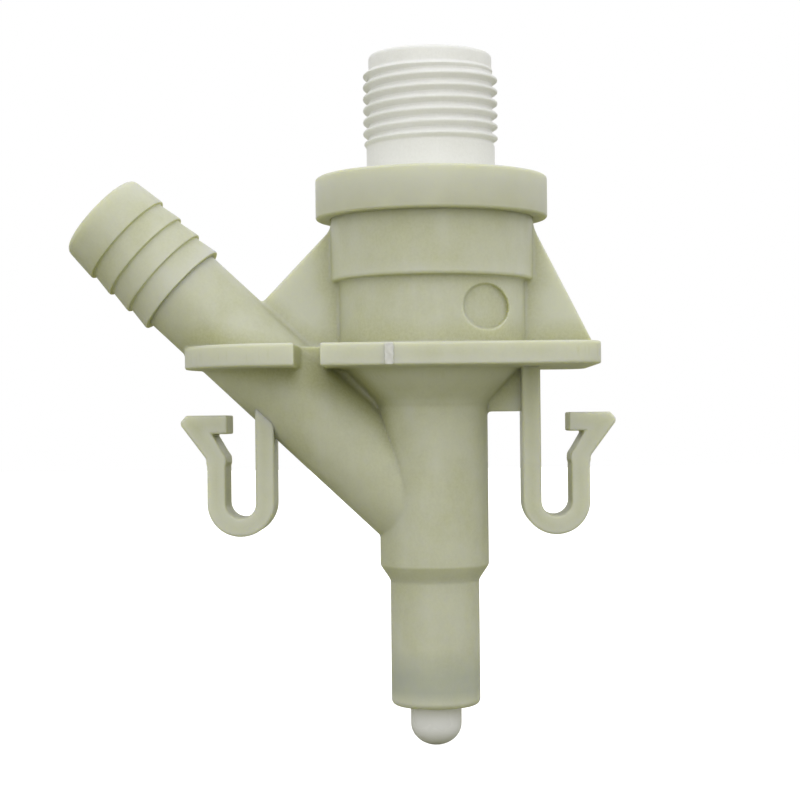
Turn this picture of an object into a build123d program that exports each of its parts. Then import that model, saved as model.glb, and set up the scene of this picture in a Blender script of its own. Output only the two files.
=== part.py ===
"""A pedal-operated water valve, with every piece as its own solid.

Millimetres, +Z up. The origin is where the valve's axis meets the underside of the
flange, which rests on the pedestal's panel. Water enters the threaded inlet on top,
passes a strainer, a flow washer and a sprung poppet, and leaves by the hose barb,
which slants up to the left (-X). The front is -Y. Two snap clips hold the panel
against the flange. A white plunger stands out of the lower end: a pedal pushes it up,
which lifts the poppet off its seat.
"""

from build123d import *
import math
import os

os.makedirs("parts", exist_ok=True)

# ---- Body moulding: radii and levels about the valve's axis ----
upper_drum_r = 15.7
lower_drum_r = 14.4
drum_step_z = 13.5
drum_top_z = 27.5
cone_top_r = 14.1
main_tube_r = 8.45
main_tube_top_z = -5.4
main_tube_end_z = -30.6
lower_tube_r = 6.9
lower_tube_top_z = -32.9
lower_tube_end_z = -52.3
lower_rim_radius = 0.9

# ---- Body moulding: hollows ----
cover_bore_r = 13.5
gland_ledge_z = 22.0
chamber_r = 12.0
chamber_floor_z = 1.2
seat_floor_r = 8.6
seat_floor_z = -2.2
seat_outer_r = 7.2
seat_top_z = -1.45
main_bore_r = 6.3
main_bore_end_z = -29.5
stem_bore_r = 5.1
stem_bore_top_z = -30.7
stem_bore_end_z = -50.3
tip_hole_r = 4.03

# ---- Flange ----
flange_thickness = 3.4
flange_front_y = 17.5
flange_right_x = 25.0
flange_left_x = -38.6
lobe_start_x = -23.5
flange_corner_radius = 4.5
flange_edge_radius = 0.35
notch_overrun = 1.0
notch_left_x = -20.35
notch_right_x = -16.55
notch_end_y = 4.0
gate_x = -6.38
gate_width = 1.32
gate_depth = 0.4

# ---- Hose barb: lengths run out along its own axis from the valve's axis ----
barb_crossing_z = -24.2
barb_angle = 43.2
barb_length = 71.2
barb_bore_r = 5.0
barb_mouth_r = 5.4
barb_mouth_depth = 20.0
barb_stem_r = 7.1
barb_root_r = 7.5
barb_crest_r = 8.05
barb_rim_radius = 1.5
barb_lead = 5.95
barb_pitch = 3.87
barb_land = 0.35
barb_teeth = 4

# ---- Fins, webs and the round recess on the drum ----
fin_half_thickness = 1.4
fin_top_z = 22.3
fin_root_x = 13.0
right_fin_top_x = 15.5
right_fin_foot_x = 24.6
right_fin_foot_z = 4.2
left_fin_top_x = -15.1
left_fin_foot_x = -27.6
left_fin_foot_z = 9.2
web_half_thickness = 0.9
web_low_z = -6.9
web_root_x = 8.0
recess_r = 3.4
recess_x = 8.05
recess_z = 8.8
recess_floor_r = 13.75

# ---- Snap clips: u runs outwards from the post's inner face ----
left_post_x = -24.6
right_post_x = 13.65
clip_half_width = 4.5
clip_thickness = 2.83
bend_centre_u = 5.15
bend_centre_z = -20.7
knuckle_gap = 0.1
hook_underside_z = -10.0
hook_top_z = -7.1
hook_inner_u = 7.15
notch_corner_u = 9.5
notch_low_z = -13.5
hook_shoulder_u = 13.45
hook_nose_u = 14.35
hook_nose_z = -8.1
hook_nose_low_u = 14.25
hook_nose_low_z = -8.7
slant_foot_z = -14.0

# ---- Inlet fitting ----
inlet_top_z = 48.75
inlet_lead_r = 9.6
inlet_lead_z = 46.3
thread_crest_r = 10.5
thread_root_r = 9.65
thread_pitch = 1.814
thread_low_z = 34.0
thread_root_flat = 0.1
thread_half_angle = 30.0
groove_overshoot = 0.3
neck_r = 10.0
inlet_flange_r = 13.4
inlet_flange_z = 24.25
inlet_flange_top_z = 27.45
spigot_r = 11.2
spigot_end_z = 21.0
inlet_bore_r = 7.3
throat_r = 5.0
throat_top_z = 31.0
inlet_rim_chamfer = 0.5

# ---- Retaining collar ----
collar_r = 18.05
collar_low_z = 23.1
collar_top_z = 29.5
collar_skirt_r = 15.75
collar_hole_r = 10.15
collar_edge_radius = 0.45

# ---- Inlet seal, washer and strainer ----
inlet_ring_r = 12.35
inlet_ring_section_r = 1.1
insert_r = 7.2
washer_top_z = 33.9
washer_hole_r = 2.4
washer_mouth_r = 4.2
washer_mouth_z = 32.6
strainer_low_z = 34.0
strainer_ring_z = 35.6
strainer_ring_bore_r = 6.0
strainer_crown_z = 40.2
strainer_top_z = 41.0
strainer_crown_r = 2.3
screen_wall = 0.3
rib_depth = 0.9
rib_half_width = 0.45
rib_count = 4

# ---- Plunger stem and poppet ----
stem_neck_r = 2.5
stem_neck_top_z = 5.0
stem_shoulder_r = 5.4
stem_shoulder_z = -1.4
stem_shoulder_low_z = -3.2
stem_shank_r = 2.6
piston_r = 5.0
piston_top_z = -31.2
piston_end_z = -44.0
piston_chamfer = 0.6
tip_r = 3.95
tip_dome_z = -55.2
tip_end_z = -58.6
ring_groove_r = 3.35
ring_groove_width = 1.8
upper_ring_z = -36.5
lower_ring_z = -41.5
stem_ring_r = 4.2
stem_ring_section_r = 0.84
seal_r = 8.0
seal_top_z = 0.6
poppet_r = 7.6
poppet_top_z = 2.2
poppet_boss_r = 4.2
poppet_boss_z = 3.4
clip_washer_r = 4.8
clip_washer_top_z = 3.8
clip_washer_teeth = 6
clip_washer_slot = 0.7
clip_washer_slot_r = 3.6
assembly_gap = 0.05

# ---- Spring, its washer and the stem guide ----
spring_washer_bore_r = 5.2
spring_washer_r = 7.2
spring_washer_low_z = 20.5
spring_r = 6.2
spring_wire_r = 0.55
spring_turns = 7
guide_top_z = -45.5
guide_bore_r = 4.02

# The left web fills the crook between the cone, the flange and the barb's axis.
barb_foot_x = barb_crossing_z / math.tan(math.radians(barb_angle))
web_crook_z = barb_crossing_z + web_root_x * math.tan(math.radians(barb_angle))

# The hose barb's own plane: x runs out along the barb, y is its radius.
barb_axis = Axis((0, 0, barb_crossing_z), Vector(-1, 0, 0).rotate(Axis.Y, barb_angle))
barb_plane = Plane(origin=barb_axis.position, x_dir=barb_axis.direction, z_dir=(0, -1, 0))


# ---------------------------------------------------------------------------
# Profiles that more than one piece uses
# ---------------------------------------------------------------------------

# Outline of the barb tube: a plain stem, then saw teeth that face the body.
barb_outline = [(barb_length, 0), (barb_length, barb_root_r)]
for tooth in range(barb_teeth):
    shoulder = barb_length - barb_lead - tooth * barb_pitch
    after = barb_root_r if tooth < barb_teeth - 1 else barb_stem_r
    barb_outline += [(shoulder + barb_land, barb_crest_r), (shoulder, barb_crest_r), (shoulder, after)]
barb_outline += [(0, barb_stem_r), (0, 0)]

with BuildSketch(barb_plane) as barb_profile:
    with BuildLine():
        Polyline(barb_outline, close=True)
    make_face()
    rim_corner = barb_profile.vertices().group_by(Axis(barb_axis.position, barb_axis.direction))[-1]
    fillet(rim_corner.sort_by_distance(barb_axis.position)[-1], barb_rim_radius)


# Outline of the drum, the cone under the flange and the two steps of the lower tube.
with BuildSketch(Plane.XZ) as drum_profile:
    with BuildLine():
        Polyline(
            (0, drum_top_z),
            (upper_drum_r, drum_top_z),
            (upper_drum_r, drum_step_z),
            (lower_drum_r, drum_step_z),
            (lower_drum_r, flange_thickness),
            (cone_top_r, 0),
            (main_tube_r, main_tube_top_z),
            (main_tube_r, main_tube_end_z),
            (lower_tube_r, lower_tube_top_z),
            (lower_tube_r, lower_tube_end_z),
            (0, lower_tube_end_z),
            close=True,
        )
    make_face()
    end_corner = drum_profile.vertices().group_by(Axis.Z)[0].sort_by(Axis.X)[-1]
    fillet(end_corner, lower_rim_radius)


def clip_plane(side):
    """The XZ plane at a clip's post, with x running outwards on that side (-1 or 1)."""
    post_x = right_post_x if side > 0 else left_post_x
    return Plane(origin=(post_x, 0, 0), x_dir=(side, 0, 0), z_dir=(0, -side, 0))


# ---------------------------------------------------------------------------
# Flange: a plate with a round lobe on the left and a slot in front and behind
# ---------------------------------------------------------------------------
with BuildPart() as flange_plate:
    with BuildSketch() as flange_plan:
        with BuildLine():
            Polyline(
                (lobe_start_x, -flange_front_y),
                (flange_right_x, -flange_front_y),
                (flange_right_x, flange_front_y),
                (lobe_start_x, flange_front_y),
            )
            ThreePointArc(
                (lobe_start_x, flange_front_y),
                (flange_left_x, 0),
                (lobe_start_x, -flange_front_y),
            )
        make_face()
        fillet(flange_plan.vertices().group_by(Axis.X)[-1], flange_corner_radius)
    extrude(amount=flange_thickness)

    for side in (-1, 1):
        with BuildSketch() as flange_notch:
            with BuildLine():
                Polyline(
                    (notch_left_x, side * notch_end_y),
                    (notch_right_x, side * notch_end_y),
                    (notch_right_x, side * (flange_front_y + notch_overrun)),
                    (notch_left_x, side * (flange_front_y + notch_overrun)),
                    close=True,
                )
            make_face()
        extrude(amount=flange_thickness, mode=Mode.SUBTRACT)

    underside_edges = flange_plate.edges().group_by(Axis.Z)[0]
    top_edges = flange_plate.edges().group_by(Axis.Z)[-1]
    fillet(underside_edges + top_edges, flange_edge_radius)


# ---------------------------------------------------------------------------
# Recess in the drum: round from the front, with a floor that follows the drum
# ---------------------------------------------------------------------------
with BuildPart() as drum_recess:
    with BuildSketch(Plane.XZ) as recess_outline:
        with Locations((recess_x, recess_z)):
            Circle(recess_r)
    extrude(amount=upper_drum_r)
    with BuildSketch() as recess_floor:
        Circle(recess_floor_r)
    extrude(amount=drum_step_z, mode=Mode.SUBTRACT)


# ---------------------------------------------------------------------------
# Valve body: drum, cone, tubes, flange, barb and fins in one moulding
# ---------------------------------------------------------------------------
with BuildPart() as valve_body:
    revolve(drum_profile.sketch, axis=Axis.Z)
    add(flange_plate.part)
    revolve(barb_profile.sketch, axis=barb_axis)

    with BuildSketch(Plane.XZ) as fins:
        with BuildLine():
            Polyline(
                (fin_root_x, fin_top_z),
                (right_fin_top_x, fin_top_z),
                (right_fin_foot_x, right_fin_foot_z),
                (right_fin_foot_x, flange_thickness),
                (fin_root_x, flange_thickness),
                close=True,
            )
        make_face()
        with BuildLine():
            Polyline(
                (-fin_root_x, fin_top_z),
                (left_fin_top_x, fin_top_z),
                (left_fin_foot_x, left_fin_foot_z),
                (left_fin_foot_x, flange_thickness),
                (-fin_root_x, flange_thickness),
                close=True,
            )
        make_face()
    extrude(amount=fin_half_thickness, both=True)

    with BuildSketch(Plane.XZ) as webs:
        with BuildLine():
            Polyline(
                (web_root_x, 0),
                (web_root_x, web_low_z),
                (right_post_x, web_low_z),
                (right_post_x, 0),
                close=True,
            )
        make_face()
        with BuildLine():
            Polyline(
                (-web_root_x, 0),
                (barb_foot_x, 0),
                (-web_root_x, web_crook_z),
                close=True,
            )
        make_face()
    extrude(amount=web_half_thickness, both=True)

    with BuildSketch() as gate_mark:
        with Locations((gate_x, -flange_front_y)):
            Rectangle(gate_width, gate_depth)
    extrude(amount=flange_thickness)

    add(drum_recess.part, mode=Mode.SUBTRACT)

    with BuildSketch(Plane.XZ) as hollows:
        with BuildLine():
            Polyline(
                (0, drum_top_z),
                (cover_bore_r, drum_top_z),
                (cover_bore_r, gland_ledge_z),
                (chamber_r, gland_ledge_z),
                (chamber_r, chamber_floor_z),
                (seat_floor_r, seat_floor_z),
                (seat_outer_r, seat_floor_z),
                (seat_outer_r, seat_top_z),
                (main_bore_r, seat_top_z),
                (main_bore_r, main_bore_end_z),
                (stem_bore_r, stem_bore_top_z),
                (stem_bore_r, stem_bore_end_z),
                (tip_hole_r, stem_bore_end_z),
                (tip_hole_r, lower_tube_end_z),
                (0, lower_tube_end_z),
                close=True,
            )
        make_face()
    revolve(axis=Axis.Z, mode=Mode.SUBTRACT)

    mouth_start = barb_length - barb_mouth_depth
    with BuildSketch(barb_plane) as barb_bore:
        with BuildLine():
            Polyline(
                (0, 0),
                (barb_length, 0),
                (barb_length, barb_mouth_r),
                (mouth_start, barb_mouth_r),
                (mouth_start, barb_bore_r),
                (0, barb_bore_r),
                close=True,
            )
        make_face()
    revolve(axis=barb_axis, mode=Mode.SUBTRACT)

valve_body.part.label = "valve_body"
export_step(valve_body.part, "parts/valve_body.step")


# ---------------------------------------------------------------------------
# Snap clips: a post with half of the bend, and a hook that flexes on the other half
# ---------------------------------------------------------------------------
quarter_turn = 90
half_turn = 180
knuckle_r = clip_thickness / 2
knuckle_z = bend_centre_z - bend_centre_u + knuckle_r
arm_inner_u = 2 * bend_centre_u - clip_thickness
arm_outer_u = 2 * bend_centre_u
bend_inner_r = bend_centre_u - clip_thickness


def make_post(side):
    """The clip's fixed leg, from the flange down to the middle of the bend."""
    with BuildPart() as post:
        with BuildSketch(clip_plane(side)):
            with BuildLine():
                Line((0, bend_centre_z), (0, 0))
                Line((0, 0), (clip_thickness, 0))
                Line((clip_thickness, 0), (clip_thickness, bend_centre_z))
                CenterArc((bend_centre_u, bend_centre_z), bend_inner_r, half_turn, quarter_turn)
                Line((bend_centre_u, knuckle_z + knuckle_r), (bend_centre_u, knuckle_z - knuckle_r))
                CenterArc((bend_centre_u, bend_centre_z), bend_centre_u, half_turn, quarter_turn)
            make_face()
        extrude(amount=clip_half_width, both=True)
        with BuildSketch(clip_plane(side)):
            with Locations((bend_centre_u, knuckle_z)):
                Circle(knuckle_r + knuckle_gap)
        extrude(amount=clip_half_width, both=True, mode=Mode.SUBTRACT)
        revolve(barb_profile.sketch, axis=barb_axis, mode=Mode.SUBTRACT)
        revolve(drum_profile.sketch, axis=Axis.Z, mode=Mode.SUBTRACT)
    return post.part


def make_hook(side):
    """The clip's outer half: half of the bend, the arm and its wedge-shaped hook."""
    with BuildPart() as hook:
        with BuildSketch(clip_plane(side)):
            with BuildLine():
                CenterArc((bend_centre_u, bend_centre_z), bend_centre_u, -quarter_turn, quarter_turn)
                Line((bend_centre_u, knuckle_z - knuckle_r), (bend_centre_u, knuckle_z + knuckle_r))
                CenterArc((bend_centre_u, bend_centre_z), bend_inner_r, -quarter_turn, quarter_turn)
                Polyline(
                    (arm_inner_u, bend_centre_z),
                    (arm_inner_u, notch_low_z),
                    (notch_corner_u, hook_underside_z),
                    (hook_inner_u, hook_underside_z),
                    (hook_inner_u, hook_top_z),
                    (hook_shoulder_u, hook_top_z),
                    (hook_nose_u, hook_nose_z),
                    (hook_nose_low_u, hook_nose_low_z),
                    (arm_outer_u, slant_foot_z),
                    (arm_outer_u, bend_centre_z),
                )
            make_face()
        extrude(amount=clip_half_width, both=True)
        with BuildSketch(clip_plane(side)):
            with Locations((bend_centre_u, knuckle_z)):
                Circle(knuckle_r)
        extrude(amount=clip_half_width, both=True)
    return hook.part


for side_name, side in (("left", -1), ("right", 1)):
    post = make_post(side)
    post.label = f"{side_name}_clip_post"
    export_step(post, f"parts/{side_name}_clip_post.step")
    hook = make_hook(side)
    hook.label = f"{side_name}_hook"
    export_step(hook, f"parts/{side_name}_hook.step")


# ---------------------------------------------------------------------------
# Inlet fitting: threaded stub, captive flange and a spigot that holds the spring
# ---------------------------------------------------------------------------
# The thread is a helical V groove, drawn a little past the crest so that it cuts clean,
# but narrower there than the pitch, so that its turns stay apart.
thread_slope = math.tan(math.radians(thread_half_angle))
groove_mouth_r = thread_crest_r + groove_overshoot
groove_mouth_half = thread_root_flat / 2 + (groove_mouth_r - thread_root_r) * thread_slope
groove_start_z = thread_low_z + thread_pitch / 2
groove_rise = inlet_lead_z - thread_low_z

with BuildPart() as inlet_fitting:
    with BuildSketch(Plane.XZ) as fitting_profile:
        with BuildLine():
            Polyline(
                (inlet_bore_r, inlet_top_z),
                (inlet_lead_r - inlet_rim_chamfer, inlet_top_z),
                (inlet_lead_r, inlet_top_z - inlet_rim_chamfer),
                (inlet_lead_r, inlet_lead_z),
                (thread_crest_r, inlet_lead_z),
                (thread_crest_r, thread_low_z),
                (neck_r, thread_low_z),
                (neck_r, inlet_flange_top_z),
                (inlet_flange_r, inlet_flange_top_z),
                (inlet_flange_r, inlet_flange_z),
                (spigot_r, inlet_flange_z),
                (spigot_r, spigot_end_z),
                (throat_r, spigot_end_z),
                (throat_r, throat_top_z),
                (inlet_bore_r, throat_top_z),
                close=True,
            )
        make_face()
    revolve(axis=Axis.Z)

    with BuildLine(Plane.XY.offset(groove_start_z)) as groove_path:
        Helix(pitch=thread_pitch, height=groove_rise, radius=thread_crest_r)
    with BuildSketch(Plane.XZ) as groove:
        with BuildLine():
            Polyline(
                (groove_mouth_r, groove_start_z + groove_mouth_half),
                (thread_root_r, groove_start_z + thread_root_flat / 2),
                (thread_root_r, groove_start_z - thread_root_flat / 2),
                (groove_mouth_r, groove_start_z - groove_mouth_half),
                close=True,
            )
        make_face()
    sweep(path=groove_path.line, is_frenet=True, mode=Mode.SUBTRACT)

inlet_fitting.part.label = "inlet_fitting"
export_step(inlet_fitting.part, "parts/inlet_fitting.step")


# ---------------------------------------------------------------------------
# Collar: a cap welded over the drum's rim, which traps the fitting's flange
# ---------------------------------------------------------------------------
with BuildPart() as retaining_collar:
    with BuildSketch(Plane.XZ) as collar_profile:
        with BuildLine():
            Polyline(
                (collar_hole_r, collar_top_z),
                (collar_r, collar_top_z),
                (collar_r, collar_low_z),
                (collar_skirt_r, collar_low_z),
                (collar_skirt_r, drum_top_z + assembly_gap),
                (collar_hole_r, drum_top_z + assembly_gap),
                close=True,
            )
        make_face()
        fillet(collar_profile.vertices().group_by(Axis.X)[-1], collar_edge_radius)
    revolve(axis=Axis.Z)

retaining_collar.part.label = "retaining_collar"
export_step(retaining_collar.part, "parts/retaining_collar.step")


def make_o_ring(centre_r, section_r, height):
    """A round-section ring about the valve's axis."""
    with BuildPart() as ring:
        with BuildSketch(Plane.XZ):
            with Locations((centre_r, height)):
                Circle(section_r)
        revolve(axis=Axis.Z)
    return ring.part


for ring_name, centre_r, section_r, height in (
    ("inlet_o_ring", inlet_ring_r, inlet_ring_section_r, gland_ledge_z + inlet_ring_section_r),
    ("upper_stem_o_ring", stem_ring_r, stem_ring_section_r, upper_ring_z),
    ("lower_stem_o_ring", stem_ring_r, stem_ring_section_r, lower_ring_z),
):
    o_ring = make_o_ring(centre_r, section_r, height)
    o_ring.label = ring_name
    export_step(o_ring, f"parts/{ring_name}.step")


# ---------------------------------------------------------------------------
# Flow washer: a rubber disc whose hole opens upwards to a shallow mouth
# ---------------------------------------------------------------------------
with BuildPart() as flow_washer:
    with BuildSketch(Plane.XZ):
        with BuildLine():
            Polyline(
                (washer_hole_r, throat_top_z),
                (insert_r, throat_top_z),
                (insert_r, washer_top_z),
                (washer_mouth_r, washer_top_z),
                (washer_hole_r, washer_mouth_z),
                close=True,
            )
        make_face()
    revolve(axis=Axis.Z)

flow_washer.part.label = "flow_washer"
export_step(flow_washer.part, "parts/flow_washer.step")


# ---------------------------------------------------------------------------
# Strainer: a moulded frame of four ribs, and the screen inside it
# ---------------------------------------------------------------------------
with BuildPart() as strainer_frame:
    with BuildSketch(Plane.XZ) as strainer_ring:
        with BuildLine():
            Polyline(
                (strainer_ring_bore_r, strainer_low_z),
                (insert_r, strainer_low_z),
                (insert_r, strainer_ring_z),
                (strainer_ring_bore_r, strainer_ring_z),
                close=True,
            )
        make_face()
    revolve(axis=Axis.Z)
    with BuildSketch(Plane.XY.offset(strainer_crown_z)) as strainer_crown:
        Circle(strainer_crown_r)
    extrude(amount=strainer_top_z - strainer_crown_z)
    for rib in range(rib_count):
        with BuildSketch(Plane.XZ.rotated((0, 0, rib * 360 / rib_count))) as strainer_rib:
            with BuildLine():
                Polyline(
                    (strainer_ring_bore_r, strainer_ring_z),
                    (strainer_ring_bore_r + rib_depth, strainer_ring_z),
                    (strainer_crown_r, strainer_top_z),
                    (strainer_crown_r - rib_depth, strainer_top_z),
                    (strainer_crown_r - rib_depth, strainer_crown_z),
                    close=True,
                )
            make_face()
        extrude(amount=rib_half_width, both=True)

strainer_frame.part.label = "strainer_frame"
export_step(strainer_frame.part, "parts/strainer_frame.step")

with BuildPart() as strainer_screen:
    with BuildSketch(Plane.XZ):
        with BuildLine():
            Polyline(
                (strainer_ring_bore_r, strainer_ring_z),
                (strainer_crown_r - rib_depth, strainer_crown_z),
                (strainer_crown_r - rib_depth - screen_wall, strainer_crown_z),
                (strainer_ring_bore_r - screen_wall, strainer_ring_z),
                close=True,
            )
        make_face()
    revolve(axis=Axis.Z)

strainer_screen.part.label = "strainer_screen"
export_step(strainer_screen.part, "parts/strainer_screen.step")


# ---------------------------------------------------------------------------
# Plunger: one stem from the poppet's neck down to the domed tip
# ---------------------------------------------------------------------------
dome_height = tip_dome_z - tip_end_z

with BuildPart() as plunger_stem:
    with BuildSketch(Plane.XZ):
        with BuildLine():
            Polyline(
                (0, stem_neck_top_z),
                (stem_neck_r, stem_neck_top_z),
                (stem_neck_r, stem_shoulder_z),
                (stem_shoulder_r, stem_shoulder_z),
                (stem_shoulder_r, stem_shoulder_low_z),
                (stem_shank_r, stem_shoulder_low_z - (stem_shoulder_r - stem_shank_r)),
                (stem_shank_r, piston_top_z),
                (piston_r - piston_chamfer, piston_top_z),
                (piston_r, piston_top_z - piston_chamfer),
                (piston_r, piston_end_z),
                (tip_r, piston_end_z),
                (tip_r, tip_dome_z),
            )
            EllipticalCenterArc((0, tip_dome_z), tip_r, dome_height, -quarter_turn, arc_size=quarter_turn)
            Line((0, tip_end_z), (0, stem_neck_top_z))
        make_face()
    revolve(axis=Axis.Z)
    for ring_z in (upper_ring_z, lower_ring_z):
        with BuildSketch(Plane.XZ) as ring_groove:
            with Locations(((ring_groove_r + piston_r) / 2, ring_z)):
                Rectangle(piston_r - ring_groove_r, ring_groove_width)
        revolve(axis=Axis.Z, mode=Mode.SUBTRACT)

plunger_stem.part.label = "plunger_stem"
export_step(plunger_stem.part, "parts/plunger_stem.step")

with BuildPart() as poppet_seal:
    with BuildSketch(Plane.XY.offset(stem_shoulder_z)):
        Circle(seal_r)
        Circle(stem_neck_r + assembly_gap, mode=Mode.SUBTRACT)
    extrude(amount=seal_top_z - stem_shoulder_z)

poppet_seal.part.label = "poppet_seal"
export_step(poppet_seal.part, "parts/poppet_seal.step")

with BuildPart() as poppet_cap:
    with BuildSketch(Plane.XZ):
        with BuildLine():
            Polyline(
                (stem_neck_r + assembly_gap, seal_top_z),
                (poppet_r, seal_top_z),
                (poppet_r, poppet_top_z),
                (poppet_boss_r, poppet_top_z),
                (poppet_boss_r, poppet_boss_z),
                (stem_neck_r + assembly_gap, poppet_boss_z),
                close=True,
            )
        make_face()
    revolve(axis=Axis.Z)

poppet_cap.part.label = "poppet_cap"
export_step(poppet_cap.part, "parts/poppet_cap.step")

with BuildPart() as push_on_washer:
    with BuildSketch(Plane.XY.offset(poppet_boss_z)):
        Circle(clip_washer_r)
        Circle(stem_neck_r + assembly_gap, mode=Mode.SUBTRACT)
        with PolarLocations(clip_washer_slot_r / 2, clip_washer_teeth):
            Rectangle(clip_washer_slot_r, clip_washer_slot, mode=Mode.SUBTRACT)
    extrude(amount=clip_washer_top_z - poppet_boss_z)

push_on_washer.part.label = "push_on_washer"
export_step(push_on_washer.part, "parts/push_on_washer.step")


# ---------------------------------------------------------------------------
# Return spring, between the poppet cap and a washer under the fitting's spigot
# ---------------------------------------------------------------------------
with BuildPart() as spring_washer:
    with BuildSketch(Plane.XY.offset(spring_washer_low_z)):
        Circle(spring_washer_r)
        Circle(spring_washer_bore_r, mode=Mode.SUBTRACT)
    extrude(amount=spigot_end_z - spring_washer_low_z)

spring_washer.part.label = "spring_washer"
export_step(spring_washer.part, "parts/spring_washer.step")

spring_low_z = poppet_top_z + spring_wire_r
spring_rise = spring_washer_low_z - poppet_top_z - 2 * spring_wire_r

with BuildPart() as return_spring:
    with BuildLine(Plane.XY.offset(spring_low_z)) as coil:
        Helix(pitch=spring_rise / spring_turns, height=spring_rise, radius=spring_r)
    with BuildSketch(Plane(origin=coil.line @ 0, z_dir=coil.line % 0)) as wire:
        Circle(spring_wire_r)
    sweep(path=coil.line, is_frenet=True)

return_spring.part.label = "return_spring"
export_step(return_spring.part, "parts/return_spring.step")


# ---------------------------------------------------------------------------
# Stem guide: a bush pressed into the foot of the lower tube
# ---------------------------------------------------------------------------
with BuildPart() as stem_guide:
    with BuildSketch(Plane.XY.offset(stem_bore_end_z)):
        Circle(stem_bore_r)
        Circle(guide_bore_r, mode=Mode.SUBTRACT)
    extrude(amount=guide_top_z - stem_bore_end_z)

stem_guide.part.label = "stem_guide"
export_step(stem_guide.part, "parts/stem_guide.step")
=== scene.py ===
"""Looks for the pedal-operated water valve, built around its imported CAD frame.

The moulded body and the two snap clips are made from distance fields, so that every inside
corner has a moulded fillet and every edge is rounded. Turned pieces are lathed with exact
normals. Lengths in this script are millimetres until a mesh is written, in metres.
"""

import math

import bmesh
import bpy
import numpy as np
from mathutils import Matrix, Vector


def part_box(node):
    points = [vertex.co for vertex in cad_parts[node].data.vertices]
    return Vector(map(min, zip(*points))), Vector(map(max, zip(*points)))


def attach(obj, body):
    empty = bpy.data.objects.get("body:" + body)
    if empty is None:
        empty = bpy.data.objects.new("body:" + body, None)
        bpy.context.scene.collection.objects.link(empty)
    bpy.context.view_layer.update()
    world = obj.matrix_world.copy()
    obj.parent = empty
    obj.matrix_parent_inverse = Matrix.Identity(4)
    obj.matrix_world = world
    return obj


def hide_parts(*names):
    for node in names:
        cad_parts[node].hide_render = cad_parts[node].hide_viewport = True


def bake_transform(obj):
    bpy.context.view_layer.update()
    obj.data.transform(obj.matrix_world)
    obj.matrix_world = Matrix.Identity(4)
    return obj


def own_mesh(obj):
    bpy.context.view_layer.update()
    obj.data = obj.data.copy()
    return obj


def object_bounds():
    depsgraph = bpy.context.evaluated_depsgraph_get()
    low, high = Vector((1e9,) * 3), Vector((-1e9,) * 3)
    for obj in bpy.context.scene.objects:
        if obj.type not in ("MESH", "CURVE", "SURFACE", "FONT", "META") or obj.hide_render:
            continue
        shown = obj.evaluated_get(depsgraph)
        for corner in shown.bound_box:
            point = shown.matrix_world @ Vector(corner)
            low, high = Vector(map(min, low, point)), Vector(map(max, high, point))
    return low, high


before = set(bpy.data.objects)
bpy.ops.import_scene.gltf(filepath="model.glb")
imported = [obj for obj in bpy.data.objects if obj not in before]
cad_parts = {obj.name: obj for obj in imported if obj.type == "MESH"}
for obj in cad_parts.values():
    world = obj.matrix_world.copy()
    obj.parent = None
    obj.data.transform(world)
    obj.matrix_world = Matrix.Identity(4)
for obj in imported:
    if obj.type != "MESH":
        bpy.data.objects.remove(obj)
cad_low, cad_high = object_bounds()
MM = 0.001


def box_mm(node):
    """A CAD node's lowest and highest corner in millimetres."""
    low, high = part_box(node)
    return np.array(low) / MM, np.array(high) / MM


# ---- Driving dimensions ----
# Places and outer sizes come from the frame; the radii and levels inside a box are
# the part's own.
body_low, body_high = box_mm("valve_body")
collar_low, collar_high = box_mm("retaining_collar")
inlet_top = box_mm("inlet_fitting")[1][2]
stem_low, stem_high = box_mm("plunger_stem")

upper_drum_r = 15.7
lower_drum_r = 14.4
drum_step_z = 13.5
drum_top_z = 27.5
cone_top_r = 14.1
cone_top_z = 0.5
main_tube_r = 8.45
main_tube_top_z = -5.4
main_tube_end_z = -30.6
lower_tube_r = 6.9
lower_tube_top_z = -32.9
lower_tube_end_z = body_low[2]

cover_bore_r = 13.5
gland_ledge_z = 22.0
chamber_r = 12.0
chamber_floor_z = 1.2
seat_floor_r = 8.6
seat_floor_z = -2.2
seat_outer_r = 7.2
seat_top_z = -1.45
main_bore_r = 6.3
main_bore_top_z = 1.55
main_bore_end_z = -29.5
stem_bore_r = 5.1
stem_bore_top_z = -30.7
stem_bore_end_z = -50.3
tip_hole_r = 4.03

gate_x = -6.38
gate_width = 1.32
gate_proud = 0.2
flange_thickness = 3.4
flange_half_y = (body_high[1] - body_low[1] - gate_proud) / 2
flange_left_x = -38.6
flange_right_x = body_high[0]
lobe_r = 17.75
lobe_centre_x = flange_left_x + lobe_r
lobe_block = 10.0
corner_r = 4.5
notch_left_x = -20.35
notch_right_x = -16.55
notch_end_y = 4.0
notch_corner_r = 0.4

# Lengths along the barb run out from the valve's axis.
barb_foot = np.array([0.0, 0.0, -24.2])
barb_angle = math.radians(43.2)
barb_out = np.array([-math.cos(barb_angle), 0.0, math.sin(barb_angle)])
barb_length = 71.2
barb_stem_r = 7.1
barb_root_r = 7.5
barb_crest_r = 8.05
barb_bore_r = 5.0
barb_mouth_r = 5.4
barb_mouth_depth = 20.0
barb_lead = 5.95
barb_pitch = 3.87
barb_land = 0.35
barb_teeth = 4
barb_shoulder = barb_length - barb_lead - (barb_teeth - 1) * barb_pitch
stem_overrun = 0.8

fin_half = 1.4
fin_top_z = 22.3
right_fin_top_x = 15.5
right_fin_foot_x = 24.6
right_fin_foot_z = 4.2
left_fin_top_x = -15.1
left_fin_foot_x = -27.6
left_fin_foot_z = 9.2
web_half = 0.9
web_low_z = -6.9
web_root_x = 8.0
web_right_x = 14.5
rib_root_z = 1.0
recess_r = 3.4
recess_x = 8.05
recess_z = 8.8
recess_floor_r = 13.75

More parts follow.
